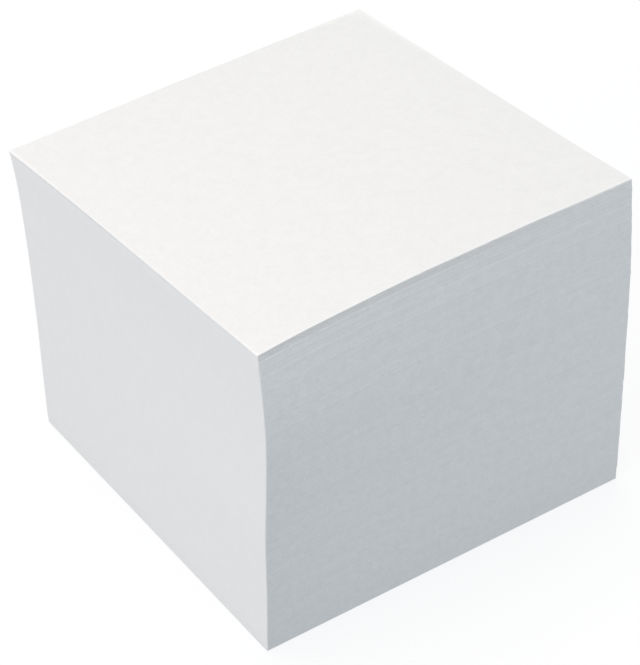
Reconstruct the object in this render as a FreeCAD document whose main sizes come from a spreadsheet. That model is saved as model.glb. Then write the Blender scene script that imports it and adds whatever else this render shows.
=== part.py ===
import FreeCAD, Part
import os

import Sketcher

# Memo cube: a block of loose square note sheets held together by a film of padding glue
# brushed on one side. Millimetres, +Z up, the origin under the middle of the lowest sheet.
# The glued side faces -Y, the open side +Y, and the left and right sides -X and +X.

doc = FreeCAD.newDocument("memo_cube")

driving_sizes = [
    # the block
    ("sheet_width", 90.0, "one sheet from left to right"),
    ("sheet_depth", 90.0, "one sheet from the glued side to the open side"),
    ("stack_height", 73.65, "about 740 sheets of 0.1 mm, before the rises and crowns below"),
    # how the sheets have slid on each other
    ("twist", 1.7, "degrees, the top sheet against the lowest one, anticlockwise from above"),
    ("bow_back", 1.2, "the bow of the stack towards the open side"),
    ("bow_left", 0.45, "the bow of the stack towards the left"),
    ("bow_level", 0.7, "height of the bow, as a share of the stack"),
    ("lean_left", 1.0, "how far the top sheet has slid to the left"),
    ("lean_power", 2.4, "1 leans evenly, more leans the upper sheets only"),
    # how the top lies: the glued side is pressed tight and the sheets fan a little elsewhere
    ("rise_open", 1.95, "rise of the top from the glued side to the open side"),
    ("rise_right", 0.6, "rise of the top from the left to the right"),
    ("crown_right_front", 3.1, "pull of the top's curve along the right side, a third of the way back"),
    ("crown_right_back", 1.0, "the same, two thirds of the way back"),
    ("crown_left_front", 0.0, "pull along the left side, a third of the way back"),
    ("crown_left_back", 0.5, "the same, two thirds of the way back"),
    ("swell", 0.4, "swell of the top along the glued side"),
    ("swell_place", 0.35, "where that swell is, as a share of the width from the left"),
    # the padding glue
    ("film_thickness", 0.3, "dried glue on the cut edges"),
    ("film_margin", 0.2, "bare paper round the film"),
]

sizes = doc.addObject("Spreadsheet::Sheet", "sizes")
for row, (alias, value, note) in enumerate(driving_sizes, start=1):
    sizes.set(f"A{row}", note)
    sizes.set(f"B{row}", str(value))
    sizes.setAlias(f"B{row}", alias)
doc.recompute()

# The lofts pass a little above the finished top, which the crowned cutter then trims.
top_share = 1.05
stack_levels = [top_share * step / 6 for step in range(7)]
# The cutter overhangs the sheets by this share of their size on every side.
overhang = 0.05
cutter_stations = [-overhang, 0.25, 0.5, 0.75, 1 + overhang]


def value_of(expression):
    """The number that an expression on the sheet gives."""
    return float(sizes.evalExpression(expression))


def hump(share, place_alias):
    """Expression: 0 at both ends and 1 at the place that the alias names."""
    power = f"log(0.5) / log(sizes.{place_alias})"
    return f"sin(180 deg * pow({max(share, 0):.6f}; {power}))"


def origin_plane(body, role):
    return next(plane for plane in body.Origin.OriginFeatures if plane.Role == role)


def add_sketch(body, name, role):
    sketch = body.newObject("Sketcher::SketchObject", name)
    sketch.AttachmentSupport = (origin_plane(body, role), [""])
    sketch.MapMode = "FlatFace"
    return sketch


def fix_point(sketch, geometry, end, across, up):
    """Holds one end of a curve at two expressions, measured from the sketch's origin."""
    for kind, expression in (("DistanceX", across), ("DistanceY", up)):
        number = value_of(expression)
        row = sketch.addConstraint(Sketcher.Constraint(kind, -1, 1, geometry, end, number))
        sketch.setExpression(f"Constraints[{row}]", expression)


def join(sketch, *corners):
    """Joins curve ends, given as geometry, end, geometry, end."""
    for first, first_end, second, second_end in corners:
        sketch.addConstraint(
            Sketcher.Constraint("Coincident", first, first_end, second, second_end)
        )


def sheet_outline(body, name, share, low, high, raised="0"):
    """A rectangle between two corners, slid and turned like the sheet at this share of the height."""
    sketch = add_sketch(body, name, "XY_Plane")
    left, front, right, back = (value_of(text) for text in (*low, *high))
    corners = [
        FreeCAD.Vector(left, front),
        FreeCAD.Vector(right, front),
        FreeCAD.Vector(right, back),
        FreeCAD.Vector(left, back),
    ]
    for start, stop in zip(corners, corners[1:] + corners[:1]):
        sketch.addGeometry(Part.LineSegment(start, stop))
    join(sketch, (0, 2, 1, 1), (1, 2, 2, 1), (2, 2, 3, 1), (3, 2, 0, 1))
    for line in (0, 2):
        sketch.addConstraint(Sketcher.Constraint("Horizontal", line))
    for line in (1, 3):
        sketch.addConstraint(Sketcher.Constraint("Vertical", line))
    fix_point(sketch, 0, 1, *low)
    fix_point(sketch, 2, 1, *high)

    bow = hump(share, "bow_level")
    lean = f"pow({share:.6f}; sizes.lean_power)"
    offsets = {
        "Base.x": f"-sizes.bow_left * {bow} - sizes.lean_left * {lean}",
        "Base.y": f"sizes.bow_back * {bow}",
        "Base.z": f"sizes.stack_height * {share:.6f} + {raised}",
        "Rotation.Angle": f"sizes.twist * {share:.6f}",
    }
    for part, expression in offsets.items():
        sketch.setExpression(f"AttachmentOffset.{part}", expression)
    return sketch


def crown_outline(body, name, station, lowered="0"):
    """What is trimmed off above the top, as a section across the depth at a share of the width."""
    sketch = add_sketch(body, name, "YZ_Plane")
    sketch.setExpression("AttachmentOffset.Base.z", f"sizes.sheet_width * {station - 0.5:.6f}")

    middle = f"sizes.stack_height + sizes.rise_right * {station - 0.5:.6f} - {lowered}"
    swell = f"sizes.swell * {hump(min(station, 1), 'swell_place')}"
    pulls = {
        share: f"(sizes.crown_left_{side} * {1 - station:.6f} + sizes.crown_right_{side} * {station:.6f})"
        for share, side in ((1 / 3, "front"), (2 / 3, "back"))
    }
    # The top's curve is one cubic from the cutter's front end to its back end.
    poles = []
    for share in (0, 1 / 3, 2 / 3, 1):
        depth_share = share * (1 + 2 * overhang) - 0.5 - overhang
        across = f"sizes.sheet_depth * {depth_share:.6f}"
        slope = f"sizes.rise_open * {depth_share:.6f} + {swell} * {1 - share:.6f}"
        poles.append((across, f"{middle} + {slope} + {pulls.get(share, '0')}"))
    ceiling = f"sizes.stack_height * {top_share + overhang}"
    corners = [(poles[3][0], ceiling), (poles[0][0], ceiling)]

    points = [FreeCAD.Vector(value_of(across), value_of(up)) for across, up in poles + corners]
    front, back, sky_back, sky_front = points[0], points[3], points[4], points[5]
    curve = Part.BSplineCurve()
    curve.buildFromPolesMultsKnots(points[:4], [4, 4], [0, 1], False, 3)
    for edge in (
        curve,
        Part.LineSegment(back, sky_back),
        Part.LineSegment(sky_back, sky_front),
        Part.LineSegment(sky_front, front),
    ):
        sketch.addGeometry(edge)
    join(sketch, (0, 2, 1, 1), (1, 2, 2, 1), (2, 2, 3, 1), (3, 2, 0, 1))
    sketch.exposeInternalGeometry(0)
    for number, pole in enumerate(poles):
        fix_point(sketch, 4 + number, 3, *pole)
    fix_point(sketch, 2, 1, *corners[0])
    fix_point(sketch, 2, 2, *corners[1])
    return sketch


def add_loft(body, kind, name, sketches):
    loft = body.newObject(f"PartDesign::{kind}", name)
    loft.Profile = sketches[0]
    loft.Sections = sketches[1:]
    loft.Ruled = False
    body.Tip = loft
    doc.recompute()
    return loft


def stack_outlines(body, name):
    low = ("-sizes.sheet_width / 2", "-sizes.sheet_depth / 2")
    high = ("sizes.sheet_width / 2", "sizes.sheet_depth / 2")
    return [
        sheet_outline(body, f"{name}_{number}", share, low, high)
        for number, share in enumerate(stack_levels)
    ]


def crown_outlines(body, name, lowered="0"):
    return [
        crown_outline(body, f"{name}_{number}", station, lowered)
        for number, station in enumerate(cutter_stations)
    ]


# The paper: one block, slid and turned from sheet to sheet, with its crowned top.
sheet_stack = doc.addObject("PartDesign::Body", "sheet_stack")
sheet_stack.Label = "sheet_stack"
add_loft(sheet_stack, "AdditiveLoft", "stack_loft", stack_outlines(sheet_stack, "stack_sheet"))
add_loft(sheet_stack, "SubtractiveLoft", "stack_top", crown_outlines(sheet_stack, "stack_crown"))

# The padding glue: a film on the cut edges of the glued side. Its blank reaches into the
# stack, and the stack's own loft is taken out of it, so that the two meet on one face.
glue_film = doc.addObject("PartDesign::Body", "glue_film")
glue_film.Label = "glue_film"
bite = 1.0
film_low = (
    "-sizes.sheet_width / 2 + sizes.film_margin",
    "-sizes.sheet_depth / 2 - sizes.film_thickness",
)
film_high = (
    "sizes.sheet_width / 2 - sizes.film_margin",
    f"-sizes.sheet_depth / 2 + {bite}",
)
film_outlines = []
for number, share in enumerate(stack_levels):
    raised = "sizes.film_margin" if number == 0 else "0"
    outline = sheet_outline(
        glue_film, f"film_sheet_{number}", share, film_low, film_high, raised
    )
    film_outlines.append(outline)
add_loft(glue_film, "AdditiveLoft", "film_blank", film_outlines)
add_loft(glue_film, "SubtractiveLoft", "film_seat", stack_outlines(glue_film, "seat_sheet"))
film_top = crown_outlines(glue_film, "film_crown", "sizes.film_margin")
add_loft(glue_film, "SubtractiveLoft", "film_top", film_top)

doc.recompute()

for item in doc.Objects:
    if "Invalid" in item.State or "Error" in item.State:
        raise RuntimeError(f"{item.Name} failed: {item.State}")

os.makedirs("parts", exist_ok=True)
for node in (sheet_stack, glue_film):
    shape = node.Shape
    if shape.isNull() or not shape.isValid() or len(shape.Solids) != 1:
        raise RuntimeError(f"{node.Label} isn't one valid solid")
    shape.exportStep(f"parts/{node.Label}.step")
    box = shape.optimalBoundingBox(False)
    extent = f"{box.XLength:.2f} x {box.YLength:.2f} x {box.ZLength:.2f} mm"
    print(f"{node.Label}: {shape.Volume / 1000:.3f} cm3, {extent}")
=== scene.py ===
import math

import bpy
import numpy as np
from mathutils import Matrix, Vector


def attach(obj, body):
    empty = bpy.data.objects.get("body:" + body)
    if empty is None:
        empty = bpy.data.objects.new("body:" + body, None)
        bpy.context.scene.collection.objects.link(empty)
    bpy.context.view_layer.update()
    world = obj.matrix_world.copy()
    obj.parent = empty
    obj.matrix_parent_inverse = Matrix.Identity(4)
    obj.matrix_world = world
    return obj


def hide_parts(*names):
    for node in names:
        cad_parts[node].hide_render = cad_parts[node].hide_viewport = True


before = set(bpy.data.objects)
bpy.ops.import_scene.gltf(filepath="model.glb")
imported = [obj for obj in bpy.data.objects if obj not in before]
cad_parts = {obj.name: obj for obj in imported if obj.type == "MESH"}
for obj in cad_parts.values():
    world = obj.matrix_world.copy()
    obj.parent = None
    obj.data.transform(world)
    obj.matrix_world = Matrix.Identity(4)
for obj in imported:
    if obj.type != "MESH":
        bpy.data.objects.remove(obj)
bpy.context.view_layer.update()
print("frame loaded:", sorted(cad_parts))

# The block's form, in metres: square sheets that have slid and turned on each other, under
# a top that rises and crowns. The glued side faces -Y, the other three are bare cut edges.
block = dict(
    side=0.090,
    height=0.07365,
    sheets=740,
    looseSheets=20,             # the last ones on top, each modelled by itself
    twist=1.7,                  # degrees, the top against the bottom
    bowBack=0.0012,
    bowLeft=0.00045,
    bowLevel=0.7,               # where the bow is widest, as a share of the height
    leanLeft=0.0010,            # the top against the bottom
    leanPower=2.4,
    riseOpen=0.00195,           # from the glued side to the open side
    riseRight=0.0006,
    pullFront=(0.0005, 0.0031), # crown along the left and the right side, a third of the way back
    pullBack=(0.0005, 0.0010),  # the same, two thirds of the way back
    swell=0.0004,               # of the top along the glued side
    swellPlace=0.35,            # where it is highest, from left to right
    overhang=0.05,              # the crown's curve ends this far past the sheets
    slides=(                    # a level, its reach, how far to the right and back, and the turn
        (0.22, 0.20, 0.0, 0.00018, 0.0),
        (0.37, 0.13, 0.0, 0.0, -0.22),
        (0.72, 0.11, 0.00013, -0.00013, 0.16),
    ),
    flares=(                    # a corner, its reach, how far to the right and back, the power
        (-1, -1, 0.012, -0.0007, 0.0, 44),
        (1, 1, 0.020, 0.0, 0.00023, 10),
    ),
    spare=0.00007,              # how much smaller the sheets are on each side, for their shifts
)
half = block["side"] / 2
oneSheet = 1 / block["sheets"]  # a sheet's share of the stack


# Rises from 0 to 1 at the place and goes back to 0, as the share goes from 0 to 1.
def hump(share, place):
    return np.sin(math.pi * np.maximum(share, 0) ** (math.log(0.5) / math.log(place)))


# Goes from 1 at no distance to 0 at the reach.
def fade(distance, reach):
    return np.clip(1 - distance / reach, 0, 1)


def topHeight(x, y):
    across = x / block["side"] + 0.5
    back = y / block["side"] + 0.5
    along = (back + block["overhang"]) / (1 + 2 * block["overhang"])
    front, rear = (
        block[pull][0] * (1 - across) + block[pull][1] * across for pull in ("pullFront", "pullBack")
    )
    rise = block["riseRight"] * (across - 0.5) + block["riseOpen"] * (back - 0.5)
    swell = block["swell"] * hump(np.clip(across, 0, 1), block["swellPlace"]) * (1 - along)
    crown = 3 * along * (1 - along) * (front * (1 - along) + rear * along)
    return block["height"] + rise + swell + crown


# How far the sheets at a level are off the middle, and their turn in degrees.
def slid(level):
    bow = hump(level, block["bowLevel"])
    right = -block["bowLeft"] * bow - block["leanLeft"] * np.maximum(level, 0) ** block["leanPower"]
    back = block["bowBack"] * bow
    turn = block["twist"] * level
    for place, reach, moreRight, moreBack, moreTurn in block["slides"]:
        near = np.exp(-((level - place) / reach) ** 2)
        right, back, turn = right + moreRight * near, back + moreBack * near, turn + moreTurn * near
    return right, back, turn


# Where a point of a flat sheet ends up in the block. The share is its place in the stack.
def inBlock(localX, localY, share):
    level = share + 0 * localX
    for _ in range(3):                  # the level depends on the place, so it is found in rounds
        right, back, turn = slid(level)
        cos, sin = np.cos(np.radians(turn)), np.sin(np.radians(turn))
        x = localX * cos - localY * sin + right
        y = localX * sin + localY * cos + back
        for cornerX, cornerY, reach, moreRight, moreBack, power in block["flares"]:
            distance = np.hypot(localX - cornerX * half, localY - cornerY * half)
            near = fade(distance, reach) ** 2 * np.maximum(share, 0) ** power
            x, y = x + moreRight * near, y + moreBack * near
        height = share * topHeight(x, y)
        level = height / block["height"]
    return np.stack([x, y, height], -1)


def newPiece(name, points, faces, slotOfFace=None):
    mesh = bpy.data.meshes.new(name)
    mesh.from_pydata(points.reshape(-1, 3).tolist(), [], [f for group in faces for f in group.tolist()])
    mesh.polygons.foreach_set("use_smooth", [True] * len(mesh.polygons))
    if slotOfFace is not None:
        mesh.polygons.foreach_set("material_index", slotOfFace)
    mesh.update()
    piece = bpy.data.objects.new(name, mesh)
    bpy.context.scene.collection.objects.link(piece)
    return piece


# Quads between rows of points that follow each other. A closed row meets its own start.
def gridFaces(rows, columns, first=0, closed=False):
    row, column = np.meshgrid(np.arange(rows - 1), np.arange(columns - (not closed)), indexing="ij")
    after = (column + 1) % columns
    quads = [row * columns + column, row * columns + after]
    quads += [(row + 1) * columns + after, (row + 1) * columns + column]
    return first + np.stack(quads, -1).reshape(-1, 4)


def fanFaces(ring, middle):
    return np.stack([ring, np.roll(ring, -1), np.full(len(ring), middle)], -1)


def setNumbers(piece, name, values):
    attribute = piece.data.attributes.new(name, "FLOAT", "POINT")
    attribute.data.foreach_set("value", np.asarray(values, np.float32).ravel())


# How the cut edges lie: sheets were moved in lifts, and a few lifts stand out to the right.
# Some are painted lighter or darker than the rest: painted highlights where ledges catch light,
# painted shade below ledges and under the topmost sheets, and the topmost painted lighter for the
# light that shines through them.
edges = dict(
    stretches=13,               # along each open side
    groove=0.00004,             # how far the gap between two sheets goes in
    jitter=0.000007,            # unevenness of single sheets
    liftSize=(9, 34),
    liftShift=0.00003,
    marked=(                    # the lift's place, its sheets, how far it stands out, how much lighter it is painted
        (0.9935, 5, 0.0, 2.3),
        (0.967, 11, 0.0, -1.3),
        (0.925, 3, 0.00005, 1.0),
        (0.890, 3, 0.00004, 1.3),
        (0.848, 4, 0.0, -0.5),
        (0.735, 4, 0.00002, 0.8),
        (0.596, 4, 0.00003, 1.2),
        (0.467, 4, 0.0, -1.0),
        (0.197, 4, 0.00002, 0.8),
    ),
    paintedEndShading=1.35,               # painted light and shade: how much the upper sheets are painted lighter towards the glued side, and the lower ones darker
    paintedEndShadingLevel=0.77,
    paintedEndShadingReach=0.12,
    paintedEndShadingLength=0.035,
    seed=11,
)


# Painted light and shade: how much lighter the upper cut edges are painted towards the glued side, and
# darker the lower ones.
def paintedEndShading(y, share):
    upper = np.tanh((share - edges["paintedEndShadingLevel"]) / edges["paintedEndShadingReach"])
    return edges["paintedEndShading"] * upper * np.exp(-(y + half) / edges["paintedEndShadingLength"])


# Each sheet's shift to the right, backwards and in turn, the last as a distance at its corners,
# and how much lighter or darker it is painted.
def sheetShifts():
    random = np.random.default_rng(edges["seed"])
    shifts = random.normal(0, edges["jitter"], (block["sheets"], 3))
    first = 0
    while first < block["sheets"]:
        size = random.integers(*edges["liftSize"])
        shifts[first:first + size] += random.normal(0, edges["liftShift"], 3)
        first += size
    # Painted highlights and shade of the marked lifts.
    lightness = np.zeros(block["sheets"])
    for share, size, outwards, lighter in edges["marked"]:
        first = int(share * block["sheets"])
        shifts[first:first + size, 0] += outwards
        lightness[first:first + size] = lighter
    return shifts, lightness


shifts, lightness = sheetShifts()


# Local places on a sheet, or on several, once they have been shifted: by up to the spare to the
# right and back, and by up to twice that to the left and front.
def shifted(x, y, sheet):
    right, back, turn = np.moveaxis(shifts[sheet], -1, 0)
    limit = block["spare"]
    inner = 1 - limit / half
    x, y = (
        x * inner + np.clip(right - turn * y / half, -2 * limit, limit),
        y * inner + np.clip(back + turn * x / half, -2 * limit, limit),
    )
    return x, y


# The outline of a sheet, anticlockwise from above. The glued side is one stretch.
def sheetOutline():
    steps = np.linspace(-half, half, edges["stretches"] + 1)[:-1]
    whole = np.full(len(steps), half)
    x = np.concatenate([whole, -steps, -whole, [-half]])
    y = np.concatenate([steps, whole, -steps, [-half]])
    return x, y


# All but the loose sheets, as one closed form. Rows of points run round it, one in each gap
# and one on each sheet's edge.
def buildStack():
    count = block["sheets"] - block["looseSheets"]
    outlineX, outlineY = sheetOutline()
    columns = len(outlineX)
    sheet = np.repeat(np.arange(count), 2)
    part = np.tile([0, 0.5], count)     # the gap under a sheet, and its edge
    sheet, part = np.append(sheet, count - 1), np.append(part, 1)
    share = (sheet + part) * oneSheet
    inwards = np.where(part == 0.5, 1, 1 - edges["groove"] / half)
    inwards[0] = 1
    x, y = shifted(outlineX[None], outlineY[None], sheet[:, None])
    rows = inBlock(x * inwards[:, None], y * inwards[:, None], share[:, None])
    middles = inBlock(np.zeros(2), np.zeros(2), share[[0, -1]])
    points = np.concatenate([rows.reshape(-1, 3), middles])
    bottomRing = np.arange(columns)
    topRing = bottomRing + (len(rows) - 1) * columns
    last = len(rows) * columns
    sides = gridFaces(len(rows), columns, closed=True)
    bottom, top = fanFaces(bottomRing[::-1], last), fanFaces(topRing, last + 1)
    slots = [0] * len(sides) + [1] * (len(bottom) + len(top))
    piece = newPiece("paper_stack", points, [sides, bottom, top], slots)
    corners = np.arange(4) * edges["stretches"]     # sharp there, and round the top and the bottom
    ends = np.zeros(len(piece.data.edges) * 2, int)
    piece.data.edges.foreach_get("vertices", ends)
    ends = ends.reshape(-1, 2)
    column, row = ends % columns, ends // columns
    upright = np.isin(column[:, 0], corners) & (column[:, 0] == column[:, 1])
    rim = (row[:, 0] == row[:, 1]) & np.isin(row[:, 0], [0, len(rows) - 1])
    sharp = piece.data.attributes.new("sharp_edge", "BOOLEAN", "EDGE")
    sharp.data.foreach_set("value", upright | rim)
    setNumbers(piece, "share", np.append(np.repeat(share, columns), share[[0, -1]]))
    along = np.append(np.tile(outlineX + outlineY, len(rows)), [0, 0])
    setNumbers(piece, "along", along)
    # Painted light and shade on the cut edges: the marked lifts', and the glued end's.
    lighter = lightness[sheet][:, None] + paintedEndShading(outlineY[None], share[:, None])
    setNumbers(piece, "lighter", np.append(lighter, [0, 0]))
    return piece


# The last sheets lie loose. The topmost reach a little past the others, and their cut edges
# are drawn down. A burr turns up along two sides of the left open corner.
loose = dict(
    lines=16,
    topLines=60,
    edgeLines=(0, 0.00003, 0.00007, 0.00012, 0.00018, 0.0003, 0.0006, 0.0012),
    inwards=0.020,              # how far in from an edge its shift and its gap reach
    gap=0.24,                   # between two sheets, as a share of one, at the glued and right side
    gapElsewhere=0.45,          # the share of it at the other two sides
    gapLowest=(0.5, 0.1),       # the share of it at the bottom, and what each sheet above adds
    gapMore=0.15,               # what is added at the right side, under the topmost ones
    openHold=3.6,               # the lower ones are open less, in equal steps
    openLength=0.078,           # and all are open less from the middle of the right side on
    openLengthHold=2.5,
    reaching=2,                 # how many reach past the others
    reachGlued=(0.0001625, 0.0000875),   # outwards at the left end, and all along
    reachRight=(0.000152, -0.00008),     # outwards at the glued end, and all along
    reachFade=0.024,
    behind=4,                   # how many below these stay behind
    recessGlued=0.00002,
    recessLength=0.117,         # from the left end, along the glued side
    recessRight=0.00010,
    drawDown=0.00011,
    drawWidth=0.00026,
    drawEven=0.75,              # the share of it all along the glued side
    drawEnds=((0.15, 0.018), (0.10, 0.008)),    # added at its left and right end, and its reach
    leftReach=0.010,            # how far the left side is drawn down, scuffed and painted with a highlight, from its glued end
    rubHighlightWidth=0.0008,
    rubHighlightHold=1.6,                # how broad the full scuff and its painted highlight are
    rubHighlightEven=0.1,                # along the whole glued side
    rubHighlightEnds=((0.9, 0.009), (0.4, 0.010)),
    rubHighlightRight=0.4,
    rubHighlightBurr=0.6,
    burrHeight=0.00010,
    burrWidth=(0.0015, 0.00002),         # at the corner, and at least
    burrLengths=(0.056, 0.028),          # along the open side and the left one
    cockle=0.00004,
    cockleWaves=7,
    cockleLength=(0.022, 0.070),
    sharpAngle=50,
    seed=5,
)


def cockle(x, y):
    random = np.random.default_rng(loose["seed"])
    height = 0
    for _ in range(loose["cockleWaves"]):
        angle = random.uniform(0, math.pi)
        length = random.uniform(*loose["cockleLength"])
        phase = random.uniform(0, 2 * math.pi)
        along = x * math.cos(angle) + y * math.sin(angle)
        height = height + np.sin(2 * math.pi * along / length + phase)
    return height * loose["cockle"] / math.sqrt(loose["cockleWaves"])


# How open the loose sheets are along the right side.
def openRight(y):
    return np.minimum(loose["openLengthHold"] * fade(y + half, loose["openLength"]), 1)


# The gap over a loose sheet, as a share of one. The number counts from the topmost, which is 0.
def gapOver(x, y, number):
    above = block["looseSheets"] - number
    nearRight, nearGlued = (fade(distance, loose["inwards"]) for distance in (half - x, y + half))
    elsewhere = loose["gapElsewhere"]
    near = elsewhere + (1 - elsewhere) * np.maximum(nearRight, nearGlued)
    lowest, added = loose["gapLowest"]
    gap = loose["gap"] * near * min(lowest + added * above, 1)
    if number >= loose["reaching"]:
        openness = min(loose["openHold"] * above / block["looseSheets"], 1)
        gap = gap + loose["gapMore"] * openness * openRight(y) * nearRight
    return gap


# What is added towards the left and the right end of the glued side.
def towardsEnds(x, ends):
    (left, leftReach), (right, rightReach) = ends
    return left * np.exp(-(x + half) / leftReach) + right * np.exp(-(half - x) / rightReach)


# How far points of a loose sheet are off the block's smooth form, to the right, backwards
# and upwards.
def loosened(x, y, number):
    looseness = 1 - number / block["looseSheets"]
    fromLeft, fromRight, fromGlued = x + half, half - x, y + half
    if number < loose["reaching"]:
        atEnd, even = loose["reachGlued"]
        outGlued = atEnd * np.exp(-fromLeft / loose["reachFade"]) + even
        atEnd, even = loose["reachRight"]
        outRight = atEnd * np.exp(-fromGlued / loose["reachFade"]) + even
    else:
        behind = number < loose["reaching"] + loose["behind"]
        outGlued = -loose["recessGlued"] * behind * np.sqrt(fade(fromLeft, loose["recessLength"]))
        outRight = -loose["recessRight"] * behind * openRight(y)
    right = outRight * fade(fromRight, loose["inwards"])
    back = -outGlued * fade(fromGlued, loose["inwards"])
    gluedEdge = loose["drawEven"] + towardsEnds(x, loose["drawEnds"])
    gluedEdge = gluedEdge * fade(fromGlued, loose["drawWidth"]) ** 2
    leftEdge = np.exp(-fromGlued / loose["leftReach"]) * fade(fromLeft, loose["drawWidth"]) ** 2
    up = cockle(x, y) * looseness ** 2
    up = up - loose["drawDown"] * np.maximum(gluedEdge, leftEdge) * looseness
    up = up + loose["burrHeight"] * burr(x, y) * looseness ** 3
    return right, back, up


# 1 where the cut has turned up a burr of fibres, along both sides of the left open corner.
def burr(x, y):
    atCorner, least = loose["burrWidth"]
    openLength, leftLength = loose["burrLengths"]
    share = 0
    for inwards, along, length in (
        (half - y, x + half, openLength),
        (x + half, half - y, leftLength),
    ):
        width = np.maximum(atCorner * fade(along, length), least)
        share = np.maximum(share, fade(inwards, width) * fade(along, length))
    return share


# How much the fibres are roughened at the edges of a sheet, and painted whiter there: a painted highlight
# along the rims and the turned-up burr.
def rubAndHighlight(x, y):
    fromLeft, fromRight, fromGlued = x + half, half - x, y + half
    width, hold = loose["rubHighlightWidth"], loose["rubHighlightHold"]
    glued = loose["rubHighlightEven"] + towardsEnds(x, loose["rubHighlightEnds"])
    glued = glued * np.minimum(hold * fade(fromGlued, width), 1)
    left = np.exp(-fromGlued / loose["leftReach"]) * fade(fromLeft, width)
    right = loose["rubHighlightRight"] * fade(fromRight, width)
    turnedUp = loose["rubHighlightBurr"] * np.minimum(hold * burr(x, y), 1)
    return np.clip(np.max([glued, left, right, turnedUp], 0), 0, 1)


# The lines of a loose sheet's grid, in each direction, closer together near its edges.
def sheetLines(lines):
    edge = np.array(loose["edgeLines"])
    inner = np.linspace(-half + edge[-1], half - edge[-1], lines)[1:-1]
    return np.concatenate([-half + edge, inner, (half - edge)[::-1]])


# The outer points of a grid, in order round it.
def ringOf(index):
    return np.concatenate([index[0, :-1], index[:-1, -1], index[-1, :0:-1], index[:0:-1, 0]])


# One loose sheet: its points, its faces, their material slots and the numbers that it carries.
def slab(sheet, lines):
    line = sheetLines(lines)
    count = len(line)
    y, x = np.meshgrid(line, line, indexing="ij")
    # The scuff mask, which also paints the highlight along the rims.
    rubHighlight = np.tile(rubAndHighlight(x, y).ravel(), 2)
    number = block["sheets"] - 1 - sheet
    gap = gapOver(x, y, number)
    right, back, up = loosened(x, y, number)
    x, y = shifted(x, y, np.full(x.shape, sheet))
    layers = []
    for part in (0, 1 - gap):
        layer = inBlock(x + right, y + back, (sheet + part) * oneSheet)
        layer[..., 2] += up
        layers.append(layer.reshape(-1, 3))
    upper = gridFaces(count, count, count * count)
    lower = gridFaces(count, count)[:, ::-1]
    ring = ringOf(np.arange(count * count).reshape(count, count))
    after = np.roll(ring, -1)
    rim = np.stack([ring, after, after + count * count, ring + count * count], -1)
    slots = [1] * (len(upper) + len(lower)) + [0] * len(rim)
    share = np.repeat([sheet + 0.1, sheet + 0.9], count * count) * oneSheet     # within the sheet
    along = np.tile((x + y).ravel(), 2)
    # Painted light and shade on the cut edges: the marked lifts', and the glued end's.
    lighter = lightness[sheet] + paintedEndShading(np.tile(y.ravel(), 2), share)
    numbers = dict(share=share, along=along, rubAndHighlight=rubHighlight, lighter=lighter)
    return np.concatenate(layers), np.concatenate([lower, upper, rim]), slots, numbers


def buildLoose(name, sheets, lines):
    points, faces, slots, numbers = [], [], [], []
    for sheet in sheets:
        slabPoints, slabFaces, slabSlots, slabNumbers = slab(sheet, lines)
        faces.append(slabFaces + sum(len(p) for p in points))
        points.append(slabPoints)
        slots += slabSlots
        numbers.append(slabNumbers)
    piece = newPiece(name, np.concatenate(points), faces, slots)
    piece.data.set_sharp_from_angle(angle=math.radians(loose["sharpAngle"]))
    for label in numbers[0]:
        setNumbers(piece, label, np.concatenate([n[label] for n in numbers]))
    return piece


# The padding glue: brushed on the cut edges of one side. It ends in a soft bead at the
# upright borders and thins out at the other two.
film = dict(
    thickness=0.00017,
    margin=0.00006,
    topMargin=(0.00060, 0.00044),   # at the left and the right end
    border=0.00022,             # width of the rounded borders
    borderLines=(0, 0.08, 0.22, 0.45, 0.75, 1.0, 1.8, 2.7, 3.6, 5.0),  # as shares of that
    taper=0.0035,               # width over which it thins out
    taperEnd=0.15,              # the share of its thickness that is left there
    bead=0.00005,
    beadPlace=0.0006,
    beadWidth=0.0004,
    depth=0.00012,              # how far it keys into the edges
    columns=110,
    rows=90,
    uneven=0.12,
    streaks=9,
    streakAlong=(20, 90),       # how closely the brush marks follow each other, per metre
    streakUp=(60, 260),
    sharpAngle=60,
    seed=3,
)


# How thin the glue was brushed, from 0 to 1.
def brushMarks(x, z):
    random = np.random.default_rng(film["seed"])
    marks = 0
    for _ in range(film["streaks"]):
        along, up = random.uniform(*film["streakAlong"]), random.uniform(*film["streakUp"])
        marks = marks + np.sin(along * x + up * z + random.uniform(0, 2 * math.pi))
    return 0.5 + 0.5 * marks / film["streaks"]


# The film's lines from one end to the other, closer together near both.
def filmLines(start, end, count):
    edge = np.array(film["borderLines"]) * film["border"]
    inner = np.linspace(start + edge[-1], end - edge[-1], count)[1:-1]
    return np.concatenate([start + edge, inner, (end - edge)[::-1]])


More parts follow.
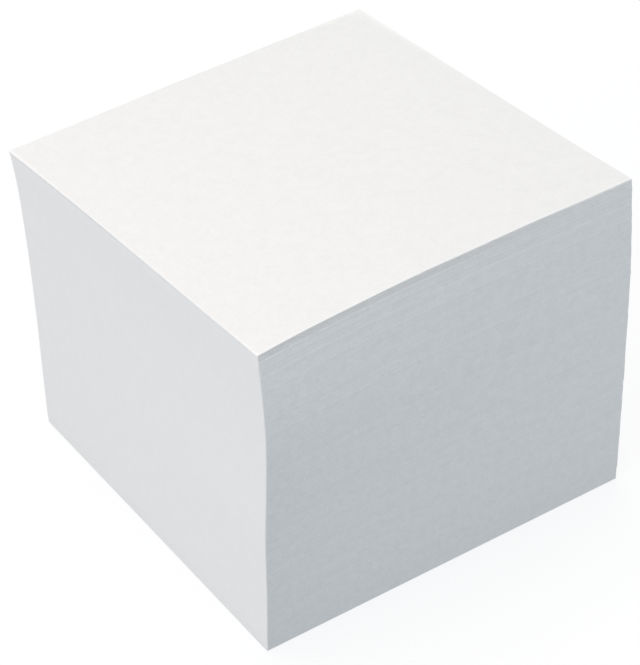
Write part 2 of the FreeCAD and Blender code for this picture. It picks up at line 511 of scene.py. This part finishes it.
def buildFilm():
    leftMargin, rightMargin = film["topMargin"]
    reach = half - film["margin"]
    top = block["height"] - leftMargin
    z, x = np.meshgrid(
        filmLines(film["margin"], top, film["rows"]),
        filmLines(-reach, reach, film["columns"]),
        indexing="ij",
    )
    rise = (leftMargin - rightMargin) * (x / block["side"] + 0.5) * z / top
    share = (z + rise) / block["height"]
    fromSide = np.minimum(x - x[0, 0], x[0, -1] - x)
    fromEnd = np.minimum(z - z[0, 0], z[-1, 0] - z)
    rounded = np.sqrt(1 - fade(fromSide, film["border"]) ** 2)
    thinned = np.sin(np.pi / 2 * (1 - fade(fromEnd, film["taper"])))
    thinned = film["taperEnd"] + (1 - film["taperEnd"]) * thinned
    bead = film["bead"] * np.exp(-((fromSide - film["beadPlace"]) / film["beadWidth"]) ** 2)
    brushed = film["thickness"] * (1 - film["uneven"] * brushMarks(x, z))
    thickness = rounded * thinned * (brushed + bead)
    front = inBlock(x, -half - thickness, share)
    rear = inBlock(x, np.full(x.shape, -half + film["depth"]), share)
    rows, columns = x.shape
    ring = ringOf(np.arange(rows * columns).reshape(rows, columns))
    after = np.roll(ring, -1)
    rim = np.stack([after, ring, ring + rows * columns, after + rows * columns], -1)
    faces = [gridFaces(rows, columns), gridFaces(rows, columns, rows * columns)[:, ::-1], rim]
    points = np.concatenate([front.reshape(-1, 3), rear.reshape(-1, 3)])
    piece = newPiece("padding_film", points, faces)
    piece.data.set_sharp_from_angle(angle=math.radians(film["sharpAngle"]))
    setNumbers(piece, "share", np.tile(share.ravel(), 2))
    setNumbers(piece, "along", np.tile(x.ravel(), 2))
    return piece


paperStack = buildStack()
print("paper stack:", len(paperStack.data.polygons), "faces")
firstLoose = block["sheets"] - block["looseSheets"]
looseSheets = buildLoose("loose_sheets", range(firstLoose, block["sheets"] - 1), loose["lines"])
topSheet = buildLoose("top_sheet", [block["sheets"] - 1], loose["topLines"])
print("loose sheets:", len(looseSheets.data.polygons) + len(topSheet.data.polygons), "faces")
glueFilm = buildFilm()
print("glue film:", len(glueFilm.data.polygons), "faces")


# A node group with its named inputs and outputs, and the two nodes that stand for them inside.
def newGroup(name, inputs, outputs):
    tree = bpy.data.node_groups.new(name, "ShaderNodeTree")
    for label, value in inputs.items():
        socket = tree.interface.new_socket(label, in_out="INPUT", socket_type="NodeSocketFloat")
        socket.default_value = value
    for label in outputs:
        tree.interface.new_socket(label, in_out="OUTPUT", socket_type="NodeSocketFloat")
    return tree, tree.nodes.new("NodeGroupInput"), tree.nodes.new("NodeGroupOutput")


# One sum in a node tree. Each value is a socket or a number.
def maths(tree, operation, first, second=0.0, third=None):
    node = tree.nodes.new("ShaderNodeMath")
    node.operation = operation
    for socket, value in zip(node.inputs, (first, second, third)):
        if isinstance(value, bpy.types.NodeSocket):
            tree.links.new(value, socket)
        elif value is not None:
            socket.default_value = value
    return node.outputs[0]


# A number that the mesh carries at its points.
def carried(tree, name):
    node = tree.nodes.new("ShaderNodeAttribute")
    node.attribute_name = name
    return node.outputs["Fac"]


# Noise at a place that comes from a socket. The scale is a socket or a number.
def noiseAt(tree, place, scale, detail):
    node = tree.nodes.new("ShaderNodeTexNoise")
    node.inputs["Detail"].default_value = detail
    tree.links.new(place, node.inputs["Vector"])
    if isinstance(scale, bpy.types.NodeSocket):
        tree.links.new(scale, node.inputs["Scale"])
    else:
        node.inputs["Scale"].default_value = scale
    return node


# Fibres and cloudiness of uncoated paper, at a scale per metre.
paperFibre = dict(
    fibres=(1.0, 3.0, 0.6),     # the share of the scale, the detail and the weight
    clouds=(0.27, 2.0, 0.4),
    roughness=0.6,
)


def paperFibreGroup():
    inputs = dict(Scale=900.0, Contrast=0.02)
    tree, entry, result = newGroup("paperFibre", inputs, ["Tone", "Height"])
    place = tree.nodes.new("ShaderNodeTexCoord").outputs["Object"]
    noises, parts = [], []
    for share, detail, weight in (paperFibre["fibres"], paperFibre["clouds"]):
        scale = maths(tree, "MULTIPLY", entry.outputs["Scale"], share)
        noise = noiseAt(tree, place, scale, detail)
        noise.inputs["Roughness"].default_value = paperFibre["roughness"]
        noises.append(noise.outputs["Fac"])
        parts.append(maths(tree, "MULTIPLY", noise.outputs["Fac"], weight))
    offset = maths(tree, "SUBTRACT", maths(tree, "ADD", *parts), 0.5)
    tone = maths(tree, "MULTIPLY_ADD", offset, entry.outputs["Contrast"], 1.0)
    tree.links.new(tone, result.inputs["Tone"])
    tree.links.new(noises[0], result.inputs["Height"])
    return tree


# Sheets seen on edge: each has its own tone, and so have the lifts they were moved in. The
# upper ones are looser, so their lines wave and stand out more.
sheetEdge = dict(
    loosePower=8.0,
    ripple=(130.0, 0.05, 1.0),  # per metre, per sheet, and the detail
    single=0.3,                 # the weight of each sheet's own tone
    lifts=((22.0, 0.33, 2.0, 0.40), (7.0, 0.09, 2.0, 0.30)),    # the same three, and the weight
)


def sheetEdgeGroup():
    inputs = dict(
        Sheets=float(block["sheets"]), Contrast=0.05, Upper=0.0, LightAndShade=0.0, Brighter=0.0, Fade=0.0, Wave=0.0
    )
    tree, entry, result = newGroup("sheetEdge", inputs, ["Tone", "Height"])
    share, along, lighter = (carried(tree, name) for name in ("share", "along", "lighter"))

    def noiseOnEdges(number, perMetre, perSheet, detail):
        place = tree.nodes.new("ShaderNodeCombineXYZ")
        tree.links.new(maths(tree, "MULTIPLY", along, perMetre), place.inputs["X"])
        tree.links.new(maths(tree, "MULTIPLY", number, perSheet), place.inputs["Y"])
        return noiseAt(tree, place.outputs["Vector"], 1.0, detail).outputs["Fac"]

    number = maths(tree, "MULTIPLY", share, entry.outputs["Sheets"])
    looser = maths(tree, "POWER", share, sheetEdge["loosePower"])
    ripple = maths(tree, "SUBTRACT", noiseOnEdges(number, *sheetEdge["ripple"]), 0.5)
    wave = maths(tree, "MULTIPLY", ripple, entry.outputs["Wave"])
    number = maths(tree, "MULTIPLY_ADD", wave, looser, number)
    single = tree.nodes.new("ShaderNodeTexWhiteNoise")
    single.noise_dimensions = "1D"
    tree.links.new(maths(tree, "FLOOR", number), single.inputs["W"])
    mixed = maths(tree, "MULTIPLY", single.outputs["Value"], sheetEdge["single"])
    for *spacing, weight in sheetEdge["lifts"]:
        part = maths(tree, "MULTIPLY", noiseOnEdges(number, *spacing), weight)
        mixed = maths(tree, "ADD", mixed, part)
    upper = maths(tree, "MULTIPLY", looser, entry.outputs["Upper"])
    contrast = maths(tree, "MULTIPLY", entry.outputs["Contrast"], maths(tree, "ADD", upper, 1.0))
    tone = maths(tree, "MULTIPLY_ADD", maths(tree, "SUBTRACT", mixed, 0.5), contrast, 1.0)
    # Painted light and shade: the edges are painted darker towards the bottom and lighter towards the top,
    # the topmost lighter still for light that shines through them, and with the painted light and shade
    # that the mesh carries.
    fromMiddle = maths(tree, "SUBTRACT", share, 0.5)
    for value, label in ((fromMiddle, "Fade"), (looser, "Brighter"), (lighter, "LightAndShade")):
        tone = maths(tree, "MULTIPLY_ADD", value, entry.outputs[label], tone)
    tree.links.new(tone, result.inputs["Tone"])
    tree.links.new(mixed, result.inputs["Height"])
    return tree


# Scuffed edges of a sheet are painted whiter, as a painted highlight. The fibres there stand up.
def rubHighlightGroup():
    tree, entry, result = newGroup("rubbedEdgeHighlight", dict(HighlightWhiter=0.05, Higher=0.5), ["Tone", "Height"])
    rubHighlight = carried(tree, "rubAndHighlight")
    tone = maths(tree, "MULTIPLY_ADD", rubHighlight, entry.outputs["HighlightWhiter"], 1.0)
    tree.links.new(tone, result.inputs["Tone"])
    tree.links.new(maths(tree, "MULTIPLY", rubHighlight, entry.outputs["Higher"]), result.inputs["Height"])
    return tree


groups = dict(paperFibre=paperFibreGroup(), sheetEdge=sheetEdgeGroup(), rubbedEdgeHighlight=rubHighlightGroup())

# Every finish: its colour, its roughness, and the values that its node groups are placed with.
finishes = dict(
    # Painted shade: the cut edges are painted cooler and darker than the faces of the same paper, and their
    # sheet edges darker towards the bottom and lighter towards the top.
    cutEdge=dict(
        color=(0.8725, 0.8845, 0.8965), roughness=0.92, specular=0.25, bump=0.25, bumpDistance=0.00003,
        paperFibre=dict(Scale=1900.0, Contrast=0.24),
        sheetEdge=dict(Contrast=0.075, Upper=2.6, LightAndShade=0.025, Brighter=0.022, Fade=0.035, Wave=8.0),
    ),
    notePaper=dict(
        color=(0.908, 0.897, 0.888), roughness=0.88, specular=0.30, bump=0.22, bumpDistance=0.00003,
        paperFibre=dict(Scale=1300.0, Contrast=0.15), rubbedEdgeHighlight=dict(HighlightWhiter=0.085, Higher=0.5),
    ),
    paddingGlue=dict(
        color=(0.900, 0.890, 0.889), roughness=0.50, specular=0.40, bump=0.06, bumpDistance=0.00003,
        paperFibre=dict(Scale=1300.0, Contrast=0.09), sheetEdge=dict(Contrast=0.008),
    ),
)


def newMaterial(name, finish):
    material = bpy.data.materials.new(name)
    material.use_nodes = True
    tree = material.node_tree
    shader = tree.nodes["Principled BSDF"]
    shader.inputs["Specular IOR Level"].default_value = finish["specular"]
    tone, height = 1.0, 0.0
    for group in groups:
        if group in finish:
            node = tree.nodes.new("ShaderNodeGroup")
            node.node_tree = groups[group]
            for label, value in finish[group].items():
                node.inputs[label].default_value = value
            tone = maths(tree, "MULTIPLY", node.outputs["Tone"], tone)
            height = maths(tree, "ADD", node.outputs["Height"], height)
    color = tree.nodes.new("ShaderNodeVectorMath")
    color.operation = "SCALE"
    color.inputs[0].default_value = finish["color"]
    tree.links.new(tone, color.inputs["Scale"])
    tree.links.new(color.outputs[0], shader.inputs["Base Color"])
    bump = tree.nodes.new("ShaderNodeBump")
    bump.inputs["Strength"].default_value = finish["bump"]
    bump.inputs["Distance"].default_value = finish["bumpDistance"]
    tree.links.new(height, bump.inputs["Height"])
    tree.links.new(bump.outputs["Normal"], shader.inputs["Normal"])
    rough = maths(tree, "MULTIPLY", tone, finish["roughness"])
    tree.links.new(rough, shader.inputs["Roughness"])
    return material


materials = {name: newMaterial(name, finish) for name, finish in finishes.items()}
for piece in (paperStack, looseSheets, topSheet):
    piece.data.materials.append(materials["cutEdge"])
    piece.data.materials.append(materials["notePaper"])
    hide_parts("sheet_stack")
glueFilm.data.materials.append(materials["paddingGlue"])
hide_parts("glue_film")
for piece in (paperStack, looseSheets, topSheet, glueFilm):
    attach(piece, "root")
print("materials:", sorted(materials))

# The studio: a white floor that keeps a light shadow, a bright sky and soft lamps.
studio = dict(
    floorSize=6.0,
    floorDrop=0.00003,
    floorColor=(0.28, 0.28, 0.28),
    bounceColor=(0.95, 0.98, 1.0),
    bounceStrength=0.289,       # light that the floor gives back even in the block's shadow
    floorShown=0.27,            # how much of the floor's own shading the camera sees
    floorGlow=0.755,            # what is added to it, white together
    skyColor=(0.900, 0.957, 1.0),
    skyStrength=0.772,
    lampAim=(0, 0, 0.04),
    suns=(
        dict(azimuth=-110.0, elevation=75.0, strength=0.449, width=30.0, color=(1.0, 0.821, 0.638)),
        dict(azimuth=7.0, elevation=20.0, strength=0.440, width=30.0, color=(0.962, 0.971, 1.0)),
    ),
    panel=dict(
        azimuth=0.0, elevation=60.0, distance=0.28, size=0.30, power=0.0998, color=(1.0, 0.845, 0.746)
    ),
)


# 1 for what the camera sees straight, in a mirror or through glass.
def seenShare(tree):
    path = tree.nodes.new("ShaderNodeLightPath")
    seen = maths(tree, "MAXIMUM", path.outputs["Is Camera Ray"], path.outputs["Is Glossy Ray"])
    return maths(tree, "MAXIMUM", seen, path.outputs["Is Transmission Ray"])


def buildFloor():
    corners = np.array([(-1, -1), (1, -1), (1, 1), (-1, 1)]) * studio["floorSize"] / 2
    points = np.column_stack([corners, np.full(4, -studio["floorDrop"])])
    floor = newPiece("floor", points, [np.array([[0, 1, 2, 3]])])
    material = bpy.data.materials.new("paleFloor")
    material.use_nodes = True
    tree = material.node_tree
    tree.nodes.remove(tree.nodes["Principled BSDF"])
    lit, shown = (tree.nodes.new("ShaderNodeBsdfDiffuse") for _ in range(2))
    bounce, glow = (tree.nodes.new("ShaderNodeEmission") for _ in range(2))
    lit.inputs["Color"].default_value = (*studio["floorColor"], 1)
    shown.inputs["Color"].default_value = (*[studio["floorShown"]] * 3, 1)
    bounce.inputs["Color"].default_value = (*studio["bounceColor"], 1)
    bounce.inputs["Strength"].default_value = studio["bounceStrength"]
    glow.inputs["Strength"].default_value = studio["floorGlow"]
    unseen, seen = (tree.nodes.new("ShaderNodeAddShader") for _ in range(2))
    for both, surface, light in ((unseen, lit, bounce), (seen, shown, glow)):
        tree.links.new(surface.outputs[0], both.inputs[0])
        tree.links.new(light.outputs[0], both.inputs[1])
    mix = tree.nodes.new("ShaderNodeMixShader")
    tree.links.new(seenShare(tree), mix.inputs["Fac"])
    tree.links.new(unseen.outputs[0], mix.inputs[1])
    tree.links.new(seen.outputs[0], mix.inputs[2])
    tree.links.new(mix.outputs[0], tree.nodes["Material Output"].inputs["Surface"])
    floor.data.materials.append(material)


def buildSky():
    world = bpy.data.worlds.new("sky")
    bpy.context.scene.world = world
    world.use_nodes = True
    tree = world.node_tree
    light = tree.nodes["Background"]
    light.inputs["Color"].default_value = (*studio["skyColor"], 1)
    light.inputs["Strength"].default_value = studio["skyStrength"]
    white = tree.nodes.new("ShaderNodeBackground")
    white.inputs["Color"].default_value = (1, 1, 1, 1)
    mix = tree.nodes.new("ShaderNodeMixShader")
    tree.links.new(seenShare(tree), mix.inputs["Fac"])
    tree.links.new(light.outputs[0], mix.inputs[1])
    tree.links.new(white.outputs[0], mix.inputs[2])
    tree.links.new(mix.outputs[0], tree.nodes["World Output"].inputs["Surface"])


# Azimuth 0 is in front of the glued side and 90 is in front of the right side.
def towards(azimuth, elevation):
    a, e = math.radians(azimuth), math.radians(elevation)
    return Vector((math.sin(a) * math.cos(e), -math.cos(a) * math.cos(e), math.sin(e)))


def addLamp(name, kind, lamp, strength):
    light = bpy.data.lights.new(name, kind)
    light.energy = strength
    light.color = lamp["color"]
    holder = bpy.data.objects.new(name, light)
    direction = towards(lamp["azimuth"], lamp["elevation"])
    holder.location = Vector(studio["lampAim"]) + direction * lamp.get("distance", 1.0)
    holder.rotation_euler = direction.to_track_quat("Z", "Y").to_euler()
    bpy.context.scene.collection.objects.link(holder)
    return light


def buildLamps():
    for number, sun in enumerate(studio["suns"]):
        addLamp(f"sun_{number}", "SUN", sun, sun["strength"]).angle = math.radians(sun["width"])
    panel = studio["panel"]
    light = addLamp("panel", "AREA", panel, panel["power"])
    light.shape = "DISK"
    light.size = panel["size"]


buildFloor()
buildSky()
buildLamps()
print("studio ready")

view = dict(
    azimuth=56.964,
    elevation=36.757,
    roll=-2.019,
    distance=0.47785,
    aim=(0.008757, -0.00615, 0.040),
    lens=125.42,
    shift=(-0.00128, 0.00075),
)


def buildCamera():
    camera = bpy.data.cameras.new("camera")
    camera.lens = view["lens"]
    camera.clip_start = 0.01
    camera.shift_x, camera.shift_y = view["shift"]
    holder = bpy.data.objects.new("camera", camera)
    back = towards(view["azimuth"], view["elevation"])
    turned = back.to_track_quat("Z", "Y").to_matrix() @ Matrix.Rotation(math.radians(view["roll"]), 3, "Z")
    place = Vector(view["aim"]) + back * view["distance"]
    holder.matrix_world = Matrix.Translation(place) @ turned.to_4x4()
    bpy.context.scene.collection.objects.link(holder)
    bpy.context.scene.camera = holder


buildCamera()
bpy.context.scene.view_settings.view_transform = "Standard"
